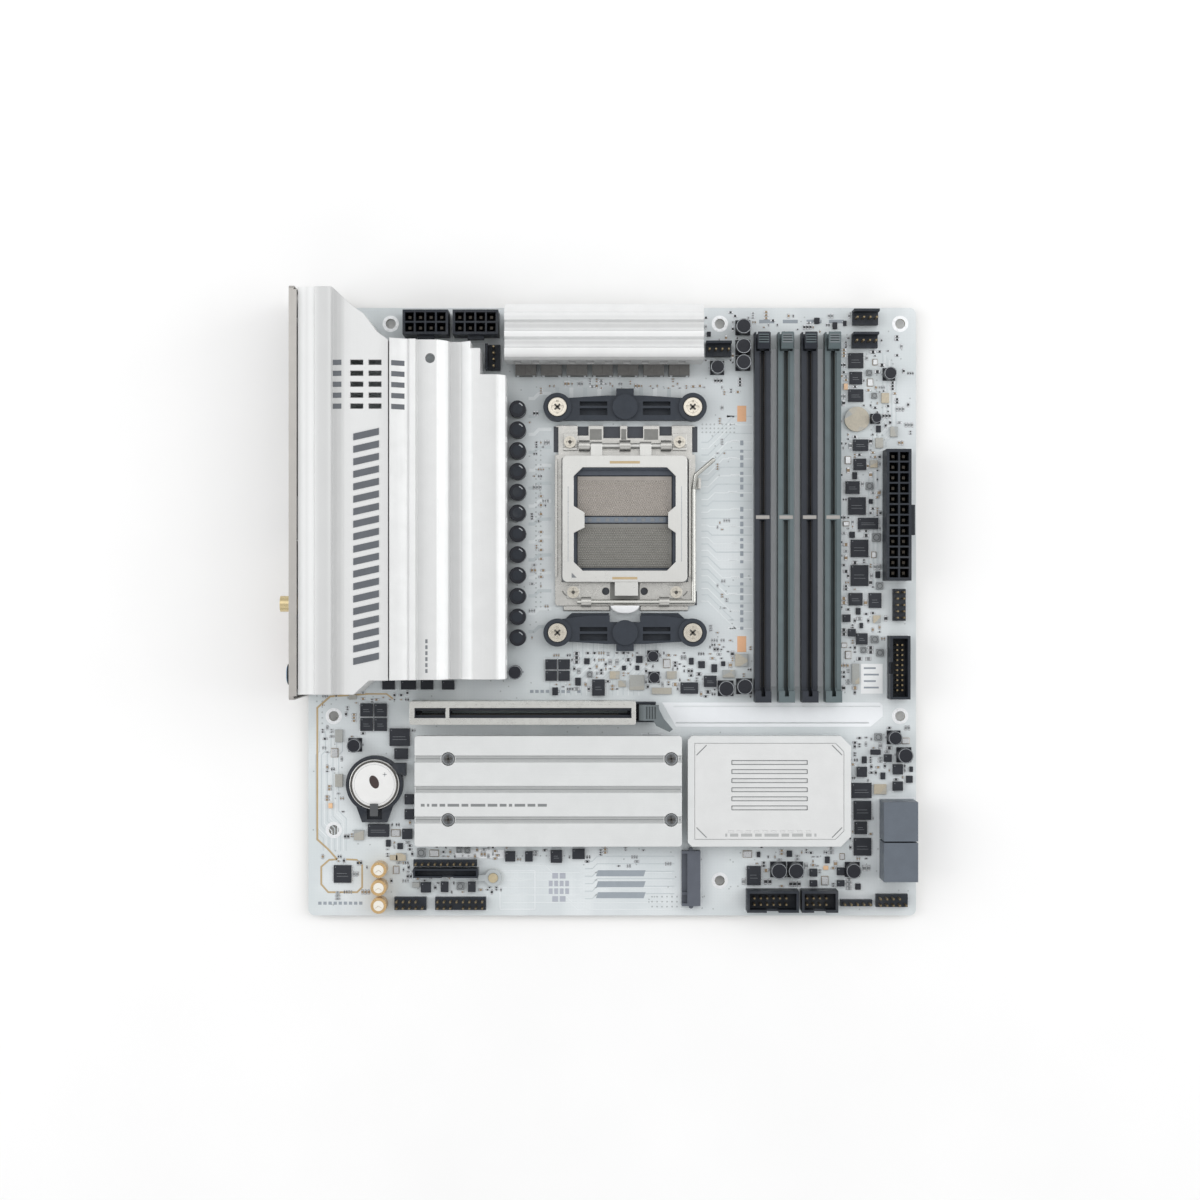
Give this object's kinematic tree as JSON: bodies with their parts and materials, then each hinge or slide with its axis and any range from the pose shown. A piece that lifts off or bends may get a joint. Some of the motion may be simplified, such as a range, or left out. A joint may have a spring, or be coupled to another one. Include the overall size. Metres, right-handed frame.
{
  "type": "micro-ATX motherboard",
  "caption": "White desktop computer motherboard with processor socket, memory slots, shielded expansion slot, heatsinks, rear connectors and moving latches.",
  "frame": {"origin": "centre of the rear standoff hole beside the expansion slot, on the underside of the board (the plane that rests on the case standoffs)", "axes": "+Z out of the component side, +Y towards the edge with the processor power connectors, -X towards the rear connector edge"},
  "size_m": [0.2513, 0.2471, 0.044],
  "materials": {
    "pcb": "white solder mask over glass laminate",
    "io_shield": "satin light grey",
    "io_cover": "satin white",
    "cover_inlay": "matt charcoal",
    "vrm_heatsink_left": "silver-white anodised",
    "vrm_heatsink_top": "silver-white anodised",
    "vrm_chokes": "pressed ferrite",
    "heatsink_screws": "zinc",
    "socket_body": "black moulding",
    "socket_contacts": "fine gold-tipped contact field",
    "socket_frame": "stamped steel",
    "load_plate": "stamped steel",
    "load_lever": "round steel wire",
    "frame_screws": "zinc",
    "cooler_brackets": "black moulding",
    "bracket_screws": "nickel",
    "backplate": "black coated steel",
    "pcie_slot": "black moulding",
    "pcie_shield": "bright stamped steel",
    "pcie_latch": "black moulding",
    "m2_heatsink": "brushed silver-white",
    "m2_heatsink_screws": "dark nickel",
    "m2_standoffs": "plated brass",
    "thermal_pads": "soft gap pad",
    "m2_sockets": "dark grey moulding",
    "m2_latch": "dark moulding",
    "chipset_heatsink": "brushed silver-white",
    "chipset_plate": "fine brushed",
    "chipset_package": "package on substrate",
    "atx_power": "black nylon",
    "eps_power": "black nylon",
    "sata_ports": "blue-grey moulding",
    "fan_headers": "black nylon",
    "board_headers": "black nylon",
    "header_pins": "gold plated",
    "battery_holder": "black moulding",
    "battery": "nickel-plated can",
    "battery_clip": "spring steel",
    "display_and_usb_ports": "nickel-plated shells",
    "ethernet_port": "nickel-plated shell",
    "port_inserts": "dark moulding",
    "audio_jacks": "black moulding",
    "antenna_ports": "gold plated",
    "wireless_card": "tinned shield",
    "button_housing": "black moulding",
    "flashback_button": "white moulding",
    "controller_chips": "moulded black packages",
    "small_passives": "ceramic and metal cans",
    "capacitors": "dark aluminium cans",
    "audio_caps": "gold aluminium cans",
    "status_leds": "clear amber",
    "solder_tails": "bright solder",
    "dimm_slot_1": "moulding",
    "dimm_latch_1": "moulding",
    "dimm_slot_2": "moulding",
    "dimm_latch_2": "moulding",
    "dimm_slot_3": "moulding",
    "dimm_latch_3": "moulding",
    "dimm_slot_4": "moulding",
    "dimm_latch_4": "moulding"
  },
  "bodies": {
    "board": {"pcb": "pcb", "io_shield": "io_shield", "io_cover": "io_cover", "cover_inlay": "cover_inlay", "vrm_heatsink_left": "vrm_heatsink_left", "vrm_heatsink_top": "vrm_heatsink_top", "vrm_chokes": "vrm_chokes", "heatsink_screws": "heatsink_screws", "socket_body": "socket_body", "socket_contacts": "socket_contacts", "socket_frame": "socket_frame", "frame_screws": "frame_screws", "cooler_brackets": "cooler_brackets", "bracket_screws": "bracket_screws", "backplate": "backplate", "pcie_slot": "pcie_slot", "pcie_shield": "pcie_shield", "m2_heatsink": "m2_heatsink", "m2_heatsink_screws": "m2_heatsink_screws", "m2_standoffs": "m2_standoffs", "thermal_pads": "thermal_pads", "m2_sockets": "m2_sockets", "chipset_heatsink": "chipset_heatsink", "chipset_plate": "chipset_plate", "chipset_package": "chipset_package", "atx_power": "atx_power", "eps_power": "eps_power", "sata_ports": "sata_ports", "fan_headers": "fan_headers", "board_headers": "board_headers", "header_pins": "header_pins", "battery_holder": "battery_holder", "battery": "battery", "battery_clip": "battery_clip", "display_and_usb_ports": "display_and_usb_ports", "ethernet_port": "ethernet_port", "port_inserts": "port_inserts", "audio_jacks": "audio_jacks", "antenna_ports": "antenna_ports", "wireless_card": "wireless_card", "button_housing": "button_housing", "controller_chips": "controller_chips", "small_passives": "small_passives", "capacitors": "capacitors", "audio_caps": "audio_caps", "status_leds": "status_leds", "solder_tails": "solder_tails", "dimm_slot_1": "dimm_slot_1", "dimm_slot_2": "dimm_slot_2", "dimm_slot_3": "dimm_slot_3", "dimm_slot_4": "dimm_slot_4"},
    "load_plate_body": {"load_plate": "load_plate"},
    "load_lever_body": {"load_lever": "load_lever"},
    "dimm_latch_1_body": {"dimm_latch_1": "dimm_latch_1"},
    "dimm_latch_2_body": {"dimm_latch_2": "dimm_latch_2"},
    "dimm_latch_3_body": {"dimm_latch_3": "dimm_latch_3"},
    "dimm_latch_4_body": {"dimm_latch_4": "dimm_latch_4"},
    "pcie_latch_body": {"pcie_latch": "pcie_latch"},
    "m2_latch_body": {"m2_latch": "m2_latch"},
    "flashback_button_body": {"flashback_button": "flashback_button"}
  },
  "joints": [
    {"name": "load_plate_hinge", "type": "hinge", "parent": "board", "child": "load_plate_body", "pos_m": [0.11686, 0.10831, 0.005], "axis": [-1, 0, 0], "range_deg": [0, 110]},
    {"name": "load_lever_hinge", "type": "hinge", "parent": "board", "child": "load_lever_body", "pos_m": [0.11686, 0.04591, 0.005], "axis": [1, 0, 0], "range_deg": [0, 120]},
    {"name": "dimm_latch_1_hinge", "type": "hinge", "parent": "board", "child": "dimm_latch_1_body", "pos_m": [0.17166, 0.14911, 0.0044], "axis": [-1, 0, 0], "range_deg": [0, 32]},
    {"name": "dimm_latch_2_hinge", "type": "hinge", "parent": "board", "child": "dimm_latch_2_body", "pos_m": [0.18101, 0.14911, 0.0044], "axis": [-1, 0, 0], "range_deg": [0, 32]},
    {"name": "dimm_latch_3_hinge", "type": "hinge", "parent": "board", "child": "dimm_latch_3_body", "pos_m": [0.19036, 0.14911, 0.0044], "axis": [-1, 0, 0], "range_deg": [0, 32]},
    {"name": "dimm_latch_4_hinge", "type": "hinge", "parent": "board", "child": "dimm_latch_4_body", "pos_m": [0.19971, 0.14911, 0.0044], "axis": [-1, 0, 0], "range_deg": [0, 32]},
    {"name": "pcie_latch_hinge", "type": "hinge", "parent": "board", "child": "pcie_latch_body", "pos_m": [0.12496, 0.00186, 0.0046], "axis": [0, 1, 0], "range_deg": [0, 30]},
    {"name": "m2_latch_turn", "type": "hinge", "parent": "board", "child": "m2_latch_body", "pos_m": [0.06406, -0.06469, 0.0032], "axis": [0, 0, 1], "range_deg": [0, 90]},
    {"name": "flashback_button_press", "type": "slide", "parent": "board", "child": "flashback_button_body", "axis": [1, 0, 0], "range_m": [0, 0.0008], "stiffness_N_per_m": 400, "springref_m": -0.0003}
  ]
}
